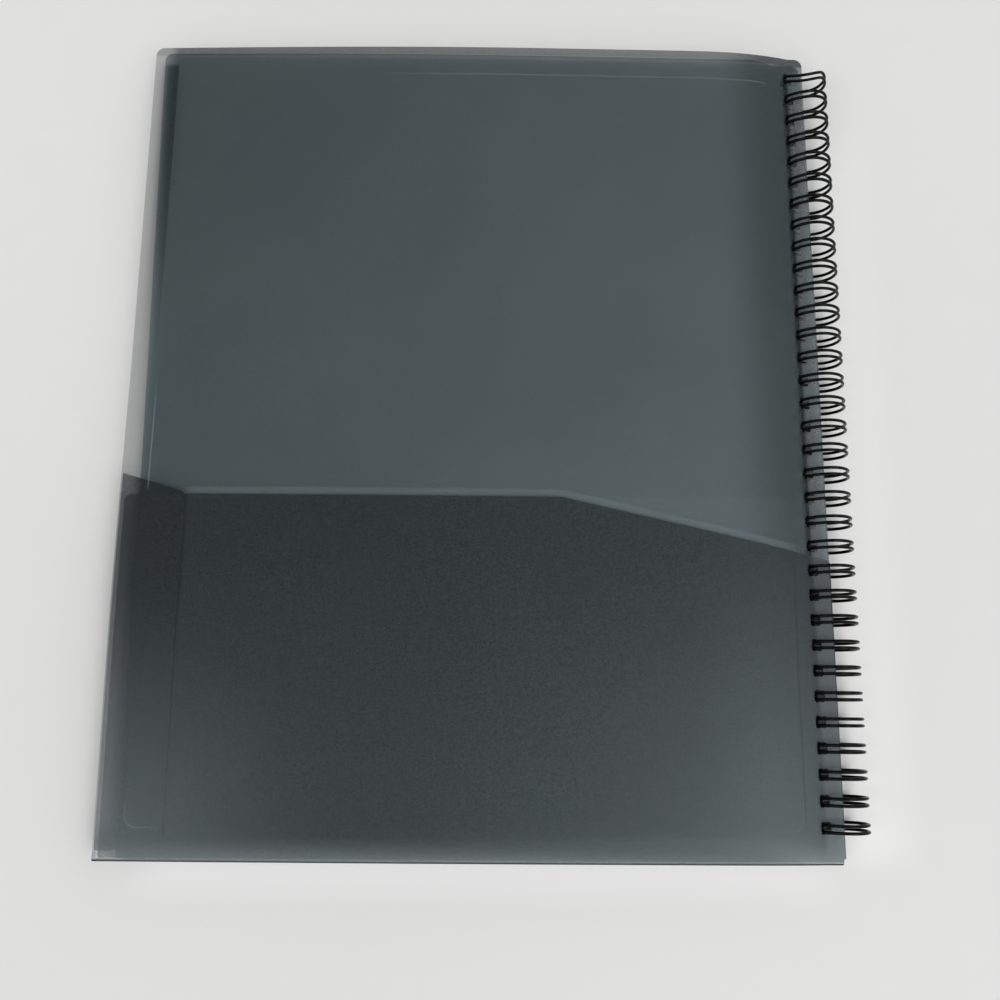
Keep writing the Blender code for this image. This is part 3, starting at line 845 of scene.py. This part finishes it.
def build_cover(side, body, levels, bend, shift=None):
    """A cover with its fold, its tab and its pocket."""
    cover_z, tab_z, pocket_z, cover_holes, pocket_holes = levels
    spine = spine_of(side + "_cover")
    cover_height = bend(cover_z, cover_holes)
    tab_height = bend(tab_z, tab_z)
    pocket_height = bend(pocket_z, pocket_holes)
    extra = (LOWER_HOLE_EXTRA, FRONT_HOLE_EXTRA) if side == "front" else (0.0, 0.0)
    outlines = [cover_outline()] + hole_outlines_at(FOLD_LINE, *extra)
    cover = sheet(side + "_cover_sheet", outlines,
                  COVER_THICKNESS, cover_height, spine, pocket_height, shift)
    tab = sheet(side + "_tab_sheet", [tab_outline()], COVER_THICKNESS, tab_height, spine,
                None, shift)
    outline = pocket_outline(
        POCKET_EDGE_INSET - COVER_WIDTH, 0, FOLD_LINE + POCKET_FOOT_GAP, MOUTH_DEPTH)
    holes = [h for h in hole_outlines(*extra) if max(p.y for p in h) < POCKET_DEPTH_AT_SPINE]
    pocket = sheet(side + "_pocket_sheet", [outline] + holes, COVER_THICKNESS,
                   pocket_height, spine, None, shift)
    finish_piece(cover, body, side + "_cover", COVER)
    finish_piece(tab, body, side + "_pocket_tab", POCKET)
    finish_piece(pocket, body, side + "_pocket", POCKET)


def build_divider(number):
    """A divider with a pocket on each face."""
    name = "divider_" + str(number + 1)
    body = name + "_leaf"
    flat = DIVIDER_Z[number]
    spine = spine_of(name)
    bow = DIVIDER_BOW[number]
    shift = askew(DIVIDER_SKEW[number], DIVIDER_EDGE_SHIFT[number])
    outline = rectangle(-DIVIDER_WIDTH, 0, LAYER_GAP, COVER_HEIGHT - LAYER_GAP, CORNER_RADIUS)
    outlines = [outline] + hole_outlines(LOWER_HOLE_EXTRA)
    bend = front_bend(flat, DIVIDER_HOLES_Z[number], bow)
    leaf = sheet(name + "_sheet", outlines, DIVIDER_THICKNESS, bend, spine, None, shift)
    finish_piece(leaf, body, name, DIVIDER)
    right = -(HOLE_STRIP + LEAF_RAMP + DIVIDER_POCKET_SEAM)
    outline = pocket_outline(
        POCKET_EDGE_INSET - DIVIDER_WIDTH, right, 2 * LAYER_GAP, MOUTH_DEPTH)
    for face, side in (("_front_pocket", -1), ("_back_pocket", 1)):
        level = flat + side * DIVIDER_PITCH
        made = sheet(name + face + "_sheet", [outline], DIVIDER_THICKNESS,
                     front_bend(level, level, bow), spine, None, shift)
        finish_piece(made, body, name + face, DIVIDER)


build_cover("front", "front_cover_leaf",
            (FRONT_COVER_Z, FRONT_TAB_Z, FRONT_POCKET_Z,
             FRONT_HOLES_Z, FRONT_HOLES_Z + COVER_PITCH), front_bend,
            askew(FRONT_SKEW, FRONT_EDGE_SHIFT))
for divider in range(DIVIDER_COUNT):
    build_divider(divider)
build_cover("back", "back_cover_leaf",
            (BACK_COVER_Z, BACK_TAB_Z, BACK_POCKET_Z,
             BACK_POCKET_HOLES_Z + COVER_PITCH, BACK_POCKET_HOLES_Z), back_bend)


# The wire, drawn round its ring axis from the top loop to the bottom one
SPAN_ANGLE = math.pi + math.asin((AXIS_Z - SPAN_HEIGHT) / RING_RADIUS)


def ring_point(y, angle, radius):
    """A point on the wire's centre line, at an angle round the ring axis."""
    return Vector((AXIS_X + radius * math.cos(angle), y, AXIS_Z + radius * math.sin(angle)))


def loop_radius(along):
    """The loop is tucked in at its span and reaches out at its crown."""
    tuck = SPAN_TUCK * ease(1 - along / LOOP_END_SHARE)
    return RING_RADIUS - tuck + CROWN_REACH * ease(1 - (1 - along) / LOOP_END_SHARE)


def hairpin(y, lean=0.0, leg_steps=34, crown_steps=12, corner_steps=4):
    """One doubled loop, out of its span, round the ring, over the crown and back.

    A leaning loop's top hangs towards the bottom edge.
    """
    span = SPAN_ANGLE
    tip = span - (2 * WIRE_RADIUS + CROWN_GAP) / RING_RADIUS + 2 * math.pi
    end = tip - LEG_SPACING / 2 / RING_RADIUS
    start = span + SPAN_CORNER / RING_RADIUS
    half = LEG_SPACING / 2
    leg = [start + (end - start) * i / leg_steps for i in range(leg_steps)]
    corner = []
    for i in range(corner_steps):
        turn = math.pi / 2 * i / corner_steps
        corner.append((SPAN_CORNER * (1 - math.sin(turn)),
                       span + SPAN_CORNER * (1 - math.cos(turn)) / RING_RADIUS))
    places = [(half + away, angle) for away, angle in corner]
    places += [(half, angle) for angle in leg]
    for i in range(crown_steps + 1):
        turn = math.pi * i / crown_steps
        places.append((half * math.cos(turn), end + half * math.sin(turn) / RING_RADIUS))
    places += [(-half, angle) for angle in reversed(leg)]
    places += [(-half - away, angle) for away, angle in reversed(corner)]
    points = []
    for across, angle in places:
        along = min(1.0, (angle - span) / (end - span))
        leaning = min(1.0, max(0.0, (angle - LEAN_FROM) / (LEAN_TO - LEAN_FROM)))
        lowered = lean * math.sin(math.pi * leaning) ** LEAN_POWER
        points.append(ring_point(y + across - lowered, angle, loop_radius(along)))
    return points


def build_wire():
    """One tube from the top end, through every loop, to the bottom end."""
    first = BOTTOM_Y + FIRST_HOLE
    points = []
    for i in range(HOLE_COUNT):
        lean = LOOP_LEAN[i] if i < len(LOOP_LEAN) else 0.0
        points += hairpin(first + (HOLE_COUNT - 1 - i) * HOLE_PITCH, lean)
    end = LEG_SPACING / 2 + CUT_END
    last = first + (HOLE_COUNT - 1) * HOLE_PITCH
    top = ring_point(last + end, SPAN_ANGLE, loop_radius(0))
    points = [top] + points + [ring_point(first - end, SPAN_ANGLE, loop_radius(0))]
    curve = bpy.data.curves.new("wire_line", "CURVE")
    curve.dimensions = "3D"
    curve.bevel_depth = WIRE_RADIUS
    curve.bevel_resolution = 2
    curve.use_fill_caps = True
    spline = curve.splines.new("POLY")
    spline.points.add(len(points) - 1)
    for point, spot in zip(spline.points, points):
        point.co = (*spot, 1)
    name = "twin_loop_wire_round"
    made = link_smooth(name, curve_mesh(name, curve), WIRE_SHARP_FROM)
    finish_piece(made, "wire", "twin_loop_wire", WIRE)


build_wire()


# Stage, light and camera
TABLE_HALF_SIZE = 8.0
TABLE_Z = -0.0002

# A sun through a wide window, as direction towards it, strength and angle, and two
# panels aimed at the origin, as place, side and power
WINDOW = ((0.45, -0.35, 1.0), 0.8, 0.6)
RIGHT_PANEL = ((0.75, -0.6, 1.5), 1.1, 6.0)
LEFT_PANEL = ((-0.9, -0.5, 1.2), 0.8, 3.2)

# The world is bright low down and towards the right and the bottom edge, dim overhead
WORLD_COLOUR = (0.975, 0.992, 1.0, 1)
WORLD_DOME = (0.55, 0.95, 0.70, 0.42)
WORLD_BRIGHT_SIDE = (0.86, -0.5, 0.0)
WORLD_SIDE_SHARE = 0.35


def build_stage():
    mesh = bpy.data.meshes.new("table_top")
    grid = bmesh.new()
    bmesh.ops.create_grid(grid, x_segments=2, y_segments=2, size=TABLE_HALF_SIZE)
    grid.to_mesh(mesh)
    grid.free()
    mesh.materials.append(TABLE)
    table = bpy.data.objects.new("table_top", mesh)
    table.location = (0, 0, TABLE_Z)
    bpy.context.scene.collection.objects.link(table)


def area_light(name, place, side, power):
    light = bpy.data.lights.new(name, "AREA")
    light.shape = "RECTANGLE"
    light.size = light.size_y = side
    light.energy = power
    made = bpy.data.objects.new(name, light)
    made.location = place
    made.rotation_euler = (-Vector(place)).to_track_quat("-Z", "Y").to_euler()
    bpy.context.scene.collection.objects.link(made)


def sun_light(name, towards, strength, angle):
    light = bpy.data.lights.new(name, "SUN")
    light.energy = strength
    light.angle = angle
    made = bpy.data.objects.new(name, light)
    made.rotation_euler = Vector(towards).to_track_quat("Z", "Y").to_euler()
    bpy.context.scene.collection.objects.link(made)


def build_world():
    world = bpy.data.worlds.new("studio")
    bpy.context.scene.world = world
    world.use_nodes = True
    nodes = world.node_tree.nodes
    links = world.node_tree.links
    background = nodes["Background"]
    background.inputs["Color"].default_value = WORLD_COLOUR
    direction = nodes.new("ShaderNodeTexCoord").outputs["Generated"]
    height = nodes.new("ShaderNodeSeparateXYZ")
    links.new(direction, height.inputs[0])
    dome = nodes.new("ShaderNodeMapRange")
    dome.interpolation_type = "SMOOTHSTEP"
    for name, value in zip(("From Min", "From Max", "To Min", "To Max"), WORLD_DOME):
        dome.inputs[name].default_value = value
    links.new(height.outputs["Z"], dome.inputs["Value"])
    side = nodes.new("ShaderNodeVectorMath")
    side.operation = "DOT_PRODUCT"
    side.inputs[1].default_value = WORLD_BRIGHT_SIDE
    links.new(direction, side.inputs[0])
    sided = nodes.new("ShaderNodeMath")
    sided.operation = "MULTIPLY_ADD"
    sided.inputs[1].default_value = WORLD_SIDE_SHARE
    sided.inputs[2].default_value = 1.0
    links.new(side.outputs["Value"], sided.inputs[0])
    strength = nodes.new("ShaderNodeMath")
    strength.operation = "MULTIPLY"
    links.new(dome.outputs["Result"], strength.inputs[0])
    links.new(sided.outputs[0], strength.inputs[1])
    links.new(strength.outputs[0], background.inputs["Strength"])


def build_camera():
    camera = bpy.data.cameras.new("camera")
    camera.lens = CAMERA_LENS
    camera.sensor_width = CAMERA_SENSOR
    camera.clip_start = CAMERA_CLIP
    made = bpy.data.objects.new("camera", camera)
    made.location = CAMERA_PLACE
    made.rotation_euler = Euler(CAMERA_TURN, "XYZ")
    bpy.context.scene.collection.objects.link(made)
    bpy.context.scene.camera = made


build_stage()
build_world()
build_camera()
sun_light("window", *WINDOW)
area_light("right_panel", *RIGHT_PANEL)
area_light("left_panel", *LEFT_PANEL)
bpy.context.scene.view_settings.view_transform = "Standard"
bpy.context.scene.cycles.transparent_max_bounces = 48
